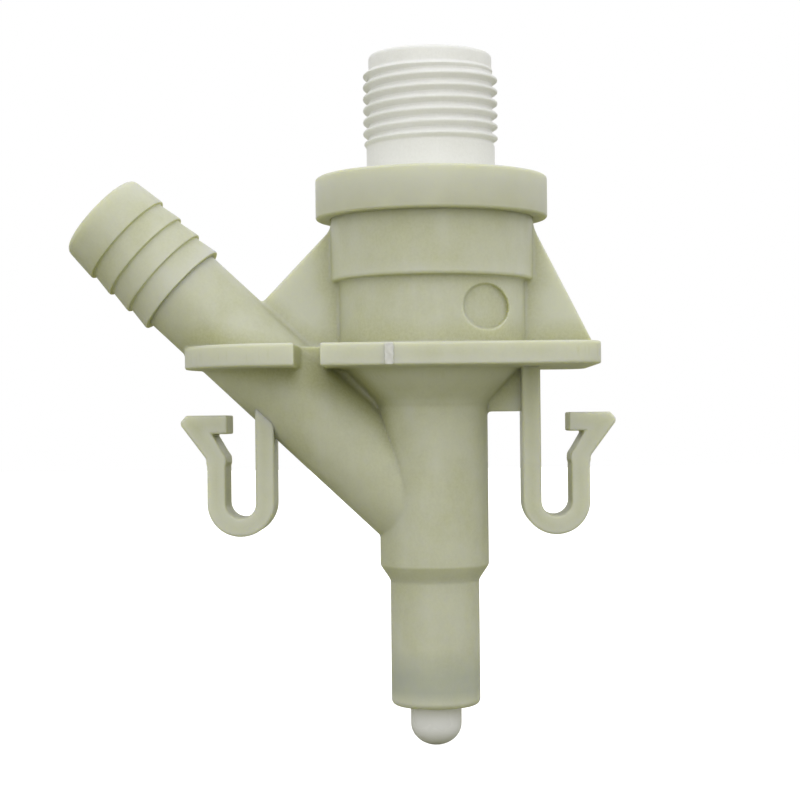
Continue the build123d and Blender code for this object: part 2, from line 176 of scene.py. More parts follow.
clip_half_width = 4.5
clip_thickness = 2.83
clip_cut_z = 1.0
bend_u = 5.15
bend_z = -20.7
post_top_z = 3.0
arm_top_z = -14.2
stem_bite = 0.9

# Radii of outside edges, with a nearly sharp one for edges that aren't rounded.
sharp = 0.02
upper_drum_edge = 0.45
lower_drum_edge = 0.3
lower_rim_edge = 0.9
tube_edge = 0.7
flange_edge = 0.35
fin_edge = 0.3
web_edge = 0.2
recess_edge = 0.3
seat_edge = 0.1
collar_edge = 0.4
clip_edge = 0.35
hook_edge = 0.22

# Fillets where two shapes of a moulding run into each other.
drum_fillet = 0.5
cone_fillet = 0.9
foot_fillet = 0.35
notch_fillet = 0.25
barb_fillet = 0.2
shaft_fillet = 0.4
web_fillet = 0.6
flange_fillet = 0.5
fin_fillet = 0.8
recess_fillet = 0.35
hook_fillet = 0.5

# The barb's rounded rim as the tint and its painted shade see it.
tint_rim = 1.2

# How far a shape runs on inside its neighbour, and past an open end.
overlap = 1.0
overrun = 5.0

# ---- Outlines in the valve's own plane ----
# The hook's (u, z), where u runs outwards from the post's inner face.
hook_outline = [(7.47, -14.6), (7.47, -13.5), (9.5, -10.0), (7.15, -10.0), (7.15, -7.1),
                (13.45, -7.1), (14.35, -8.1), (14.25, -8.7), (10.3, -14.0), (10.3, -14.6)]

fin_outline = [(left_fin_foot_x, rib_root_z), (right_fin_foot_x, rib_root_z),
               (right_fin_foot_x, right_fin_foot_z), (right_fin_top_x, fin_top_z),
               (left_fin_top_x, fin_top_z), (left_fin_foot_x, left_fin_foot_z)]

# The left web ends on the barb's axis, so that it fills the crook under the flange.
barb_rise = math.tan(barb_angle)
barb_crossing_x = barb_foot[2] / barb_rise
web_outline = [(barb_crossing_x, rib_root_z), (barb_crossing_x, 0.0),
               (-web_root_x, barb_foot[2] + web_root_x * barb_rise), (-web_root_x, web_low_z),
               (web_right_x, web_low_z), (web_right_x, rib_root_z)]


# ---- Distance fields ----
def smooth_min(a, b, k):
    """Two shapes joined, with a fillet of about k where they meet."""
    h = np.maximum(k - np.abs(a - b), 0.0) / k
    return np.minimum(a, b) - h * h * k / 4


def smooth_max(a, b, k):
    """What two shapes share, with its new edges eased by about k."""
    return -smooth_min(-a, -b, k)


def meet(u, v, edge):
    """Two faces that meet at a rounded edge."""
    u, v = u + edge, v + edge
    return np.hypot(np.maximum(u, 0), np.maximum(v, 0)) + np.minimum(np.maximum(u, v), 0) - edge


def drum(rho, z, r, low, high, edge):
    """A cylinder between two levels, with rounded rims."""
    return meet(rho - r, np.abs(z - (low + high) / 2) - (high - low) / 2, edge)


def frustum(rho, z, low_r, low, high_r, high):
    """A cone between two levels."""
    slope = np.array([high - low, low_r - high_r])
    slope = slope / np.linalg.norm(slope)
    side = (rho - low_r) * slope[0] + (z - low) * slope[1]
    return np.maximum(side, np.maximum(low - z, z - high))


def polygon(px, pz, outline):
    """Exact signed distance to a closed outline."""
    nearest = np.full(px.shape, np.inf)
    inside = np.zeros(px.shape, bool)
    for (ax, az), (bx, bz) in zip(outline, outline[1:] + outline[:1]):
        ex, ez = bx - ax, bz - az
        wx, wz = px - ax, pz - az
        t = np.clip((wx * ex + wz * ez) / (ex * ex + ez * ez), 0, 1)
        nearest = np.minimum(nearest, (wx - ex * t) ** 2 + (wz - ez * t) ** 2)
        if ez != 0:
            inside ^= ((az > pz) != (bz > pz)) & (wx < ex * wz / ez)
    return np.where(inside, -1, 1) * np.sqrt(nearest)


def inset(outline, by):
    """The outline drawn in by a distance, so that growing it back rounds its corners."""
    pts = np.array(outline, float)
    area = np.sum(pts[:, 0] * np.roll(pts[:, 1], -1) - np.roll(pts[:, 0], -1) * pts[:, 1])
    turn = 1.0 if area > 0 else -1.0
    ahead = np.roll(pts, -1, 0) - pts
    ahead /= np.linalg.norm(ahead, axis=1)[:, None]
    inward = turn * np.stack([-ahead[:, 1], ahead[:, 0]], 1)
    drawn = []
    for i in range(len(pts)):
        a, b = inward[i - 1], inward[i]
        drawn.append(pts[i] + by * (a + b) / (1 + a @ b))
    return [tuple(p) for p in drawn]


def barb_places(p):
    """Each point's distance from the barb's axis, and how far out along it the point lies."""
    q = p - barb_foot
    along = q @ barb_out
    around = np.sqrt(np.maximum((q * q).sum(1) - along * along, 0))
    return around, along


# The main tube and its step down, run on past the axis so that only the outer corners count.
past_axis = -20.0
tube_outline = inset([(past_axis, 0.0), (past_axis, lower_tube_top_z), (lower_tube_r, lower_tube_top_z),
                      (main_tube_r, main_tube_end_z), (main_tube_r, 0.0)], tube_edge)


def flange_distance(x, y, z):
    """The flange: a plate with a round lobe on its left and a notch in front and behind."""
    middle_x, half_x = (flange_right_x + lobe_centre_x) / 2, (flange_right_x - lobe_centre_x) / 2
    plate = meet(np.abs(x - middle_x) - half_x, np.abs(y) - flange_half_y, corner_r)
    square_end = np.maximum(np.abs(x - lobe_centre_x - lobe_block / 2) - lobe_block / 2,
                            np.abs(y) - flange_half_y)
    lobe = np.hypot(x - lobe_centre_x, y) - lobe_r
    plate = np.minimum(np.minimum(plate, square_end), lobe)
    notch_x, notch_half = (notch_left_x + notch_right_x) / 2, (notch_right_x - notch_left_x) / 2
    notch = meet(np.abs(x - notch_x) - notch_half, notch_end_y - np.abs(y), notch_corner_r)
    plate = smooth_max(plate, -notch, notch_fillet)
    return meet(plate, np.abs(z - flange_thickness / 2) - flange_thickness / 2, flange_edge)


def moulding_distance(p):
    """The valve body's outside without its barb's teeth: drum, cone, tubes, flange, fins, webs and stem."""
    x, y, z = p[:, 0], p[:, 1], p[:, 2]
    rho = np.hypot(x, y)

    shell = smooth_min(
        drum(rho, z, upper_drum_r, drum_step_z, drum_top_z, upper_drum_edge),
        drum(rho, z, lower_drum_r, 0.0, drum_step_z + 2 * overlap, lower_drum_edge), drum_fillet)
    cone = frustum(rho, z, main_tube_r, main_tube_top_z, cone_top_r, cone_top_z)
    tube = polygon(rho, z, tube_outline) - tube_edge
    foot = drum(rho, z, lower_tube_r, lower_tube_end_z, main_tube_end_z, lower_rim_edge)
    shaft = smooth_min(cone, tube, cone_fillet)
    shaft = smooth_min(shaft, foot, foot_fillet)

    flange = flange_distance(x, y, z)
    fins = meet(polygon(x, z, fin_outline), np.abs(y) - fin_half, fin_edge)
    web = meet(polygon(x, z, web_outline), np.abs(y) - web_half, web_edge)
    around, along = barb_places(p)
    stem = drum(around, along, barb_stem_r, 0.0, barb_shoulder + stem_overrun, sharp)

    d = smooth_min(shaft, stem, barb_fillet)
    d = smooth_min(shell, d, shaft_fillet)
    d = smooth_min(d, web, web_fillet)
    d = smooth_min(d, flange, flange_fillet)
    d = smooth_min(d, fins, fin_fillet)

    # The recess is round from the front, in the front half only, and its floor follows the drum.
    recess = np.maximum(np.hypot(x - recess_x, z - recess_z) - recess_r, y)
    return smooth_max(d, -meet(recess, recess_floor_r - rho, recess_edge), recess_fillet)


def skin_distance(p):
    """The outside of the fixed mouldings together, for how thin or tucked away a place is."""
    rho = np.hypot(p[:, 0], p[:, 1])
    around, along = barb_places(p)
    rim = drum(rho, p[:, 2], collar_high[0], collar_low[2], collar_high[2], collar_edge)
    barb = drum(around, along, barb_root_r, barb_shoulder, barb_length, tint_rim)
    return np.minimum(np.minimum(moulding_distance(p), rim), barb)


def body_distance(p):
    """The valve body with its bores: the moulding less its hollows."""
    z = p[:, 2]
    rho = np.hypot(p[:, 0], p[:, 1])
    around, along = barb_places(p)
    bowl = frustum(rho, z, seat_floor_r, seat_floor_z, chamber_r, chamber_floor_z)
    seat = drum(rho, z, seat_outer_r, seat_floor_z - overrun, seat_top_z, seat_edge)
    hollows = [
        drum(rho, z, cover_bore_r, gland_ledge_z, drum_top_z + overrun, sharp),
        drum(rho, z, chamber_r, chamber_floor_z, gland_ledge_z + overlap, sharp),
        np.maximum(bowl, -seat),
        drum(rho, z, main_bore_r, main_bore_end_z, main_bore_top_z, sharp),
        frustum(rho, z, stem_bore_r, stem_bore_top_z, main_bore_r, main_bore_end_z),
        drum(rho, z, stem_bore_r, stem_bore_end_z, stem_bore_top_z + overlap, sharp),
        drum(rho, z, tip_hole_r, lower_tube_end_z - overrun, stem_bore_end_z + overlap, sharp),
        drum(around, along, barb_bore_r, 0.0, barb_length, sharp),
        drum(around, along, barb_mouth_r, barb_length - barb_mouth_depth, barb_length, sharp)]
    return np.maximum(moulding_distance(p), -np.minimum.reduce(hollows))


def clip_distance(side, post_x):
    """A snap clip: post, bend, arm and hook in one ribbon; u runs outwards from the post."""
    half = clip_thickness / 2
    head_outline = inset(hook_outline, hook_edge)

    def distance(p):
        u, y, z = side * (p[:, 0] - post_x), p[:, 1], p[:, 2]
        post = np.hypot(u - half, np.maximum(z - post_top_z, 0)) - half
        arm = np.hypot(u - (2 * bend_u - half), np.maximum(z - arm_top_z, 0)) - half
        bend = np.abs(np.hypot(u - bend_u, z - bend_z) - (bend_u - half)) - half
        ribbon = np.where(z >= bend_z, np.minimum(post, arm), bend)
        head = polygon(u, z, head_outline) - hook_edge
        d = meet(smooth_min(ribbon, head, hook_fillet), np.abs(y) - clip_half_width, clip_edge)
        d = np.maximum(d, z - clip_cut_z)
        return np.maximum(d, (barb_stem_r - stem_bite) - barb_places(p)[0])

    return distance


def gate_distance(p):
    """The broken-off gate on the flange's front edge: a low strip with a torn face."""
    half_height, corner, rim, height = flange_thickness / 2 - 0.08, 0.3, 0.07, 0.11
    x, y, z = p[:, 0] - gate_x, p[:, 1] + flange_half_y, p[:, 2] - flange_thickness / 2
    wavy_side = np.abs(x + 0.03 * np.sin(z * 6)) - gate_width / 2
    torn = 0.02 * np.sin(x * 5.0 + np.sin(z * 3.3) * 1.7) + 0.015 * np.sin(z * 3.1 + x * 4.0)
    return meet(meet(wavy_side, np.abs(z) - half_height, corner), np.abs(y) - height - torn, rim)


# ---- Meshes ----
tiny = 1e-9


def smooth(mesh):
    mesh.polygons.foreach_set("use_smooth", np.ones(len(mesh.polygons), bool))
    mesh.update()


def vertex_rows(mesh, field):
    """A vector of each vertex, such as its place or its normal, one row each."""
    values = np.empty(len(mesh.vertices) * 3, np.float32)
    mesh.vertices.foreach_get(field, values)
    return values.reshape(-1, 3).astype(float)


def write_mesh(name, verts, faces, normals=None):
    """A mesh from millimetre vertices and quads or triangles in one index array."""
    mesh = bpy.data.meshes.new(name)
    n = faces.shape[1]
    mesh.vertices.add(len(verts))
    mesh.vertices.foreach_set("co", (verts * MM).astype(np.float32).ravel())
    mesh.loops.add(faces.size)
    mesh.loops.foreach_set("vertex_index", faces.astype(np.int32).ravel())
    mesh.polygons.add(len(faces))
    mesh.polygons.foreach_set("loop_start", np.arange(0, faces.size, n, dtype=np.int32))
    mesh.update(calc_edges=True)
    mesh.validate()
    smooth(mesh)
    if normals is not None:
        mesh.normals_split_custom_set_from_vertices(normals.astype(np.float32))
    return mesh


def listed_mesh(name, verts, faces):
    """A smooth mesh from millimetre vertices and a list of faces of any size."""
    mesh = bpy.data.meshes.new(name)
    mesh.from_pydata((verts * MM).tolist(), [], faces)
    smooth(mesh)
    return mesh


def add(name, mesh):
    obj = bpy.data.objects.new(name, mesh)
    bpy.context.scene.collection.objects.link(obj)
    return obj


def in_parts(distance, points, size=400000):
    """The field at many points, a part at a time to keep memory low."""
    return np.concatenate([distance(points[i:i + size]) for i in range(0, len(points), size)])


def slopes(distance, points, h=0.01):
    """The field and its gradient."""
    here = in_parts(distance, points)
    rise = [in_parts(distance, points + h * e) - in_parts(distance, points - h * e) for e in np.eye(3)]
    return here, np.stack(rise, 1) / (2 * h)


def settle(distance, points, reach, rounds=2):
    """Moves points onto the field's surface, by at most reach each round."""
    least_slope = 0.2
    for _ in range(rounds):
        here, grad = slopes(distance, points)
        size = np.maximum((grad * grad).sum(1), least_slope)
        move = -(here / size)[:, None] * grad
        length = np.linalg.norm(move, axis=1)
        points = points + move * np.minimum(1, reach / np.maximum(length, tiny))[:, None]
    return points


def surface_net(distance, low, high, step):
    """Vertices and quads around the surface: one vertex in each cell that the surface crosses."""
    # The field is worked out only in the blocks of cells that the surface may cross.
    block, batch = 8, 400
    low = np.array(low, float)
    count = [int(math.ceil((h - l) / (step * block))) for l, h in zip(low, high)]
    field = np.empty([c * block + 1 for c in count], np.float32)
    starts = np.stack(np.meshgrid(*[np.arange(c) for c in count], indexing="ij"), -1).reshape(-1, 3) * block
    middle = in_parts(distance, low + (starts + block / 2) * step)
    near = np.abs(middle) < block * step * math.sqrt(3) / 2 + step
    fill = np.where(middle > 0, 1.0, -1.0).astype(np.float32).reshape(count)
    field[:-1, :-1, :-1] = fill.repeat(block, 0).repeat(block, 1).repeat(block, 2)
    field[-1], field[:, -1], field[:, :, -1] = 1.0, 1.0, 1.0
    cell = np.stack(np.meshgrid(*[np.arange(block + 1)] * 3, indexing="ij"), -1).reshape(-1, 3)
    for group in np.array_split(starts[near], max(1, near.sum() // batch)):
        index = (group[:, None, :] + cell[None]).reshape(-1, 3)
        field[tuple(index.T)] = distance(low + index * step).astype(np.float32)
    solid = field < 0

    # Each crossed cell's vertex is the mean of the crossings on its twelve edges.
    shape = [n - 1 for n in field.shape]
    corners = [(i, j, k) for i in (0, 1) for j in (0, 1) for k in (0, 1)]
    total = np.zeros(shape, np.uint8)
    for i, j, k in corners:
        total += solid[i:i + shape[0], j:j + shape[1], k:k + shape[2]]
    active = (total > 0) & (total < len(corners))
    cells = np.argwhere(active)
    number = np.full(shape, -1, np.int64)
    number[active] = np.arange(len(cells))
    summed, hits = np.zeros((len(cells), 3)), np.zeros(len(cells))
    for a in corners:
        for axis in range(3):
            if a[axis]:
                continue
            b = tuple(1 if n == axis else a[n] for n in range(3))
            fa = field[tuple((cells + a).T)].astype(float)
            fb = field[tuple((cells + b).T)].astype(float)
            cross = (fa < 0) != (fb < 0)
            t = np.where(cross, fa / np.where(cross, fa - fb, 1.0), 0.0)
            spot = np.array(a, float)[None] + t[:, None] * np.eye(3)[axis]
            summed += np.where(cross[:, None], spot, 0.0)
            hits += cross
    verts = low + (cells + summed / hits[:, None]) * step

    # Each crossed edge of the grid gives a quad between the four cells around it.
    quads = []
    for axis in range(3):
        b, c = (axis + 1) % 3, (axis + 2) % 3
        first = np.swapaxes(solid, 0, axis)
        change = np.argwhere(np.swapaxes(first[:-1] != first[1:], 0, axis))
        change = change[(change[:, [b, c]] > 0).all(1) & (change[:, [b, c]] < [shape[b], shape[c]]).all(1)]
        eb, ec = np.eye(3, dtype=int)[b], np.eye(3, dtype=int)[c]
        ring = [number[tuple((change - s * eb - t * ec).T)] for s, t in ((0, 0), (1, 0), (1, 1), (0, 1))]
        quad = np.stack(ring, 1)
        starts_solid = solid[tuple(change.T)]
        quad[starts_solid] = quad[starts_solid][:, ::-1]
        quads.append(quad[:, ::-1][(quad >= 0).all(1)])
    return verts, np.concatenate(quads)


def shorten(mesh, longest):
    """Splits the edges that are longer than a length, so that a tint stored at the vertices stays smooth."""
    most_rounds = 3
    work = bmesh.new()
    work.from_mesh(mesh)
    for _ in range(most_rounds):
        long_edges = [e for e in work.edges if e.calc_length() > longest * MM]
        if not long_edges:
            break
        bmesh.ops.subdivide_edges(work, edges=long_edges, cuts=1)
        bmesh.ops.triangulate(work, faces=[f for f in work.faces if len(f.verts) > 3])
    work.to_mesh(mesh)
    work.free()


def moulded(name, distance, low, high, step, keep=1.0, longest=2.4):
    """A mesh of the field's surface, thinned out where it is flat, with the field's own normals."""
    first_reach, last_reach, normal_reach = 0.6, 0.3, 0.03
    verts, quads = surface_net(distance, low, high, step)
    verts = settle(distance, verts, step * first_reach)
    mesh = write_mesh(name, verts, quads)
    if keep < 1.0:
        obj = add(name + "_raw", mesh)
        thin = obj.modifiers.new("thin", "DECIMATE")
        thin.ratio = keep
        dg = bpy.context.evaluated_depsgraph_get()
        mesh = bpy.data.meshes.new_from_object(obj.evaluated_get(dg))
        bpy.data.objects.remove(obj)
        mesh.name = name
        shorten(mesh, longest)
        verts = settle(distance, vertex_rows(mesh, "co") / MM, step * last_reach, 1)
        mesh.vertices.foreach_set("co", (verts * MM).astype(np.float32).ravel())
        smooth(mesh)
    _, grad = slopes(distance, verts, normal_reach)
    grad /= np.maximum(np.linalg.norm(grad, axis=1), tiny)[:, None]
    mesh.normals_split_custom_set_from_vertices(grad.astype(np.float32))
    return add(name, mesh)


def store_thickness_and_shade(obj, distance):
    """Stores how thin the wall is (red), how close a crease is (green) and how sheltered the
    place is (blue) at each vertex, for the milkier thin walls of moulded plastic and the
    painted shade in creases and sheltered places."""
    inward, near, far = 2.4, 1.6, 5.0
    mesh = obj.data
    points, normals = vertex_rows(mesh, "co") / MM, vertex_rows(mesh, "normal")
    thin = 1 + in_parts(distance, points - normals * inward) / inward
    # Green and blue: near a crease and sheltered from light, where olive painted shade goes.
    close = 1 - in_parts(distance, points + normals * near) / near
    sheltered = 1 - in_parts(distance, points + normals * far) / far
    thin *= 1 - np.clip(sheltered, 0, 1)
    tint = np.stack([thin, close, sheltered, np.ones(len(points))], 1)
    layer = mesh.color_attributes.new("wall_and_shade", "FLOAT_COLOR", "POINT")
    layer.data.foreach_set("color", np.clip(tint, 0, 1).astype(np.float32).ravel())
    return obj


def rounded_profile(corners, steps=5):
    """A closed profile whose corners (r, z, radius) are arcs, with its outward normals.
    The corners run so that the solid lies on their left."""
    longest_share, arc_step = 0.48, 0.18
    pts = np.array([c[:2] for c in corners], float)
    places, normals = [], []
    for i, (_, _, radius) in enumerate(corners):
        before, here, after = pts[i - 1], pts[i], pts[(i + 1) % len(pts)]
        a, b = here - before, after - here
        la, lb = np.linalg.norm(a), np.linalg.norm(b)
        a, b = a / la, b / lb
        na = np.array([a[1], -a[0]])
        turn = math.atan2(a[0] * b[1] - a[1] * b[0], a @ b)
        reach = min(radius * abs(math.tan(turn / 2)), longest_share * min(la, lb))
        radius = reach / max(abs(math.tan(turn / 2)), tiny)
        start = here - a * reach
        sign = 1.0 if turn > 0 else -1.0
        centre = start - na * radius * sign
        count = max(1, min(steps, int(math.ceil(abs(turn) / arc_step))))
        for s in range(count + 1):
            angle = turn * s / count
            n = np.array([na[0] * math.cos(angle) - na[1] * math.sin(angle),
                          na[0] * math.sin(angle) + na[1] * math.cos(angle)])
            places.append(centre + n * radius * sign)
            normals.append(n)
    return np.array(places), np.array(normals)


def about(places, normals, turns, foot=(0.0, 0.0, 0.0), up=(0.0, 0.0, 1.0), closed=True):
    """Spins a profile about an axis: vertices, quads and normals."""
    up = np.array(up, float)
    side = np.cross([0.0, 1.0, 0.0], up)
    side /= np.linalg.norm(side)
    other = np.cross(up, side)
    angle = 2 * np.pi * np.arange(turns) / turns
    spoke = (np.cos(angle)[:, None] * side + np.sin(angle)[:, None] * other)[:, None, :]
    verts = np.array(foot) + places[None, :, 0, None] * spoke + places[None, :, 1, None] * up
    norms = normals[None, :, 0, None] * spoke + normals[None, :, 1, None] * up
    m = len(places)
    i, j = np.meshgrid(np.arange(turns), np.arange(m if closed else m - 1), indexing="ij")
    nxt, jn = (i + 1) % turns, (j + 1) % m
    quads = np.stack([i * m + j, nxt * m + j, nxt * m + jn, i * m + jn], -1).reshape(-1, 4)
    return verts.reshape(-1, 3), quads, norms.reshape(-1, 3)


def lathed(name, corners, turns=160, foot=(0.0, 0.0, 0.0), up=(0.0, 0.0, 1.0)):
    """A turned ring piece: corners are (r, z, edge radius), anticlockwise in the r-z plane."""
    verts, quads, norms = about(*rounded_profile(corners), turns, foot, up)
    return add(name, write_mesh(name, verts, quads, norms))


def capped(name, corners, turns=128):
    """A turned piece that closes on its axis: its corners start and end at radius 0."""
    on_axis = 1e-4
    places, normals = rounded_profile(corners)
    first = int(np.argmin(places[:, 1]))
    places, normals = np.roll(places, -first, 0), np.roll(normals, -first, 0)
    low_z, high_z = places[:, 1].min(), places[:, 1].max()
    ring = places[:, 0] > on_axis
    places, normals = places[ring], normals[ring]
    verts, quads, norms = about(places, normals, turns, closed=False)
    m, foot_i, top_i = len(places), len(verts), len(verts) + 1
    verts = np.concatenate([verts, [[0, 0, low_z], [0, 0, high_z]]])
    norms = np.concatenate([norms, [[0, 0, -1], [0, 0, 1]]])
    k = np.arange(turns)
    fan_low = np.stack([np.full(turns, foot_i), ((k + 1) % turns) * m, k * m], 1)
    fan_top = np.stack([np.full(turns, top_i), k * m + m - 1, ((k + 1) % turns) * m + m - 1], 1)
    mesh = listed_mesh(name, verts, quads.tolist() + fan_low.tolist() + fan_top.tolist())
    mesh.normals_split_custom_set_from_vertices(norms.astype(np.float32))
    return add(name, mesh)


def tube(path, radius, sides, closed=False):
    """A round wire along a path: vertices and quads, open at its ends unless the path is closed."""
    path = np.array(path, float)
    ahead = np.roll(path, -1, 0) - np.roll(path, 1, 0)
    if not closed:
        ahead[0], ahead[-1] = path[1] - path[0], path[-1] - path[-2]
    ahead /= np.linalg.norm(ahead, axis=1)[:, None]
    side = np.cross(ahead, [0.0, 0.0, 1.0])
    side /= np.maximum(np.linalg.norm(side, axis=1), tiny)[:, None]
    lift = np.cross(side, ahead)
    angle = 2 * np.pi * np.arange(sides) / sides
    around = np.cos(angle)[None, :, None] * side[:, None] + np.sin(angle)[None, :, None] * lift[:, None]
    verts = path[:, None] + radius * around
    n = len(path)
    i, j = np.meshgrid(np.arange(n if closed else n - 1), np.arange(sides), indexing="ij")
    nxt, jn = (i + 1) % n, (j + 1) % sides
    quads = np.stack([i * sides + j, i * sides + jn, nxt * sides + jn, nxt * sides + j], -1).reshape(-1, 4)
    return verts.reshape(-1, 3), quads


def gathered(name, open_tubes, closed_tubes=()):
    """One mesh of several tubes given as (path, radius, sides), with a flat cap on each open end."""
    verts, faces, at = [], [], 0
    for spec in open_tubes:
        v, q = tube(*spec)
        sides = spec[2]
        last = at + len(v)
        faces += (q + at).tolist()
        faces += [list(range(at + sides - 1, at - 1, -1)), list(range(last - sides, last))]
        verts.append(v)
        at = last
    for spec in closed_tubes:
        v, q = tube(*spec, closed=True)
        faces += (q + at).tolist()
        verts.append(v)
        at += len(v)
    return add(name, listed_mesh(name, np.concatenate(verts), faces))


# ---- Materials ----
# Noise scales are per metre and bump distances in metres.
def shader(name):
    """A new material with its node tree and surface shader."""
    mat = bpy.data.materials.new(name)
    mat.use_nodes = True
    return mat, mat.node_tree, mat.node_tree.nodes["Principled BSDF"]


def noise(tree, where, scale, detail=3.0, rough=0.5):
    n = tree.nodes.new("ShaderNodeTexNoise")
    n.inputs["Scale"].default_value = scale
    n.inputs["Detail"].default_value = detail
    n.inputs["Roughness"].default_value = rough
    tree.links.new(where, n.inputs["Vector"])
    return n.outputs["Fac"]


def ramp(tree, value, low, high, to_low=0.0, to_high=1.0):
    n = tree.nodes.new("ShaderNodeMapRange")
    n.inputs["From Min"].default_value = low
    n.inputs["From Max"].default_value = high
    n.inputs["To Min"].default_value = to_low
    n.inputs["To Max"].default_value = to_high
    tree.links.new(value, n.inputs["Value"])
    return n.outputs["Result"]


def plug(tree, socket, value):
    """Links a node's output to a socket, or sets the socket where the value is a constant."""
    if isinstance(value, bpy.types.NodeSocket):
        tree.links.new(value, socket)
    else:
        socket.default_value = value


def mixed(tree, factor, first, second):
    n = tree.nodes.new("ShaderNodeMix")
    n.data_type = "RGBA"
    for socket, value in (("Factor", factor), ("A", first), ("B", second)):
        plug(tree, n.inputs[socket], value)
    return n.outputs["Result"]


def times(tree, a, b):
    n = tree.nodes.new("ShaderNodeMath")
    n.operation = "MULTIPLY"
    plug(tree, n.inputs[0], a)
    plug(tree, n.inputs[1], b)
    return n.outputs[0]


def roughen(tree, bsdf, height, strength, distance):
    """A fine bump on the surface."""
    bump = tree.nodes.new("ShaderNodeBump")
    bump.inputs["Strength"].default_value = strength
    bump.inputs["Distance"].default_value = distance
    tree.links.new(height, bump.inputs["Height"])
    tree.links.new(bump.outputs["Normal"], bsdf.inputs["Normal"])


def stretched(tree, where, scale):
    n = tree.nodes.new("ShaderNodeMapping")
    n.inputs["Scale"].default_value = scale
    tree.links.new(where, n.inputs["Vector"])
    return n.outputs["Vector"]


def mould_tint_and_shade(tree, where, tone, milky, shade_tone):
    """Flow marks, milkier thin walls, and olive painted shade in creases and sheltered places."""
    flow = stretched(tree, where, (1.0, 1.0, 0.35))
    patch = ramp(tree, noise(tree, flow, 210.0, 3.0, 0.55), 0.46, 0.72)
    tone = mixed(tree, times(tree, patch, 0.5), tone, milky)
    wall_and_shade = tree.nodes.new("ShaderNodeAttribute")
    wall_and_shade.attribute_name = "wall_and_shade"
    wall = tree.nodes.new("ShaderNodeSeparateColor")
    tree.links.new(wall_and_shade.outputs["Color"], wall.inputs[0])
    # Red makes thin walls milkier; blue and green mix in olive painted shade where the part is sheltered or
    # near a crease.
    for channel, low, high, most, shade in (("Red", 0.1, 1.0, 0.9, milky), ("Blue", 0.15, 0.9, 0.85, shade_tone),
                                            ("Green", 0.0, 0.8, 0.5, shade_tone)):
        share = ramp(tree, wall.outputs[channel], low, high, 0.0, most)
        tone = mixed(tree, share, tone, shade)
    return tone


def shaded_band(tree, where, tone, low, high, shade):
    """A darker, uneven band of painted shade between two levels, where a part inside shows through the wall.
    """
    split = tree.nodes.new("ShaderNodeSeparateXYZ")
    tree.links.new(where, split.inputs[0])
    rise = ramp(tree, split.outputs["Z"], (low - 1.0) * MM, (low + 0.6) * MM)
    fall = ramp(tree, split.outputs["Z"], (high - 1.5) * MM, (high + 3.0) * MM, 1.0, 0.0)
    patch = ramp(tree, noise(tree, where, 260.0, 2.0), 0.2, 0.8, 0.6, 1.0)
    inside = times(tree, times(tree, rise, fall), patch)
    return mixed(tree, inside, tone, shade)


def plastic(name, colour, deep, roughness, sss, radius, grain=0.25, band=None, milky=None, shade_tone=None):
    """Moulded plastic: cloudy tint, flow marks, fine frosted grain, uneven polish and slight translucency,
    with painted shade in creases, sheltered places and an optional band.
    """
    mat, tree, bsdf = shader(name)
    where = tree.nodes.new("ShaderNodeTexCoord").outputs["Object"]
    cloud = ramp(tree, noise(tree, where, 95.0, 4.0, 0.6), 0.38, 0.62)
    tone = mixed(tree, times(tree, cloud, 0.85), colour, deep)
    if milky is not None:
        tone = mould_tint_and_shade(tree, where, tone, milky, shade_tone)
    speck = ramp(tree, noise(tree, where, 2400.0, 2.0, 0.7), 0.35, 0.65)
    fleck = [min(1.0, c * 1.12) for c in colour[:3]] + [1.0]
    tone = mixed(tree, times(tree, speck, grain), tone, fleck)
    if band is not None:
        tone = shaded_band(tree, where, tone, *band)
    tree.links.new(tone, bsdf.inputs["Base Color"])
    worn = noise(tree, where, 90.0, 4.0, 0.6)
    tree.links.new(ramp(tree, worn, 0.3, 0.7, roughness - 0.07, roughness + 0.09), bsdf.inputs["Roughness"])
    bsdf.inputs["Subsurface Weight"].default_value = sss
    bsdf.inputs["Subsurface Radius"].default_value = radius
    bsdf.inputs["Subsurface Scale"].default_value = MM
    bsdf.inputs["Specular IOR Level"].default_value = 0.45
    bsdf.inputs["IOR"].default_value = 1.5
    roughen(tree, bsdf, noise(tree, where, 1300.0, 5.0, 0.7), 0.5, 0.00005)
    return mat


def rubber(name):
    """Black rubber with a dusty bloom."""
    mat, tree, bsdf = shader(name)
    where = tree.nodes.new("ShaderNodeTexCoord").outputs["Object"]
    dust = ramp(tree, noise(tree, where, 700.0, 5.0, 0.7), 0.45, 0.8)
    black, grey = (0.012, 0.012, 0.013, 1), (0.05, 0.049, 0.046, 1)
    tree.links.new(mixed(tree, dust, black, grey), bsdf.inputs["Base Color"])
    tree.links.new(ramp(tree, dust, 0.0, 1.0, 0.55, 0.8), bsdf.inputs["Roughness"])
    roughen(tree, bsdf, noise(tree, where, 1600.0, 3.0), 0.4, 0.00003)
    return mat


def steel(name, tone):
    """Drawn stainless steel: fine marks that run along Z."""
    mat, tree, bsdf = shader(name)
    where = tree.nodes.new("ShaderNodeTexCoord").outputs["Object"]
    draw = noise(tree, stretched(tree, where, (1.0, 1.0, 9.0)), 500.0, 5.0, 0.7)
    bright = [min(1.0, c * 1.15) for c in tone] + [1.0]
    tree.links.new(mixed(tree, draw, [*tone, 1.0], bright), bsdf.inputs["Base Color"])
    tree.links.new(ramp(tree, draw, 0.3, 0.7, 0.22, 0.42), bsdf.inputs["Roughness"])
    bsdf.inputs["Metallic"].default_value = 1.0
    roughen(tree, bsdf, draw, 0.2, 0.00002)
    return mat
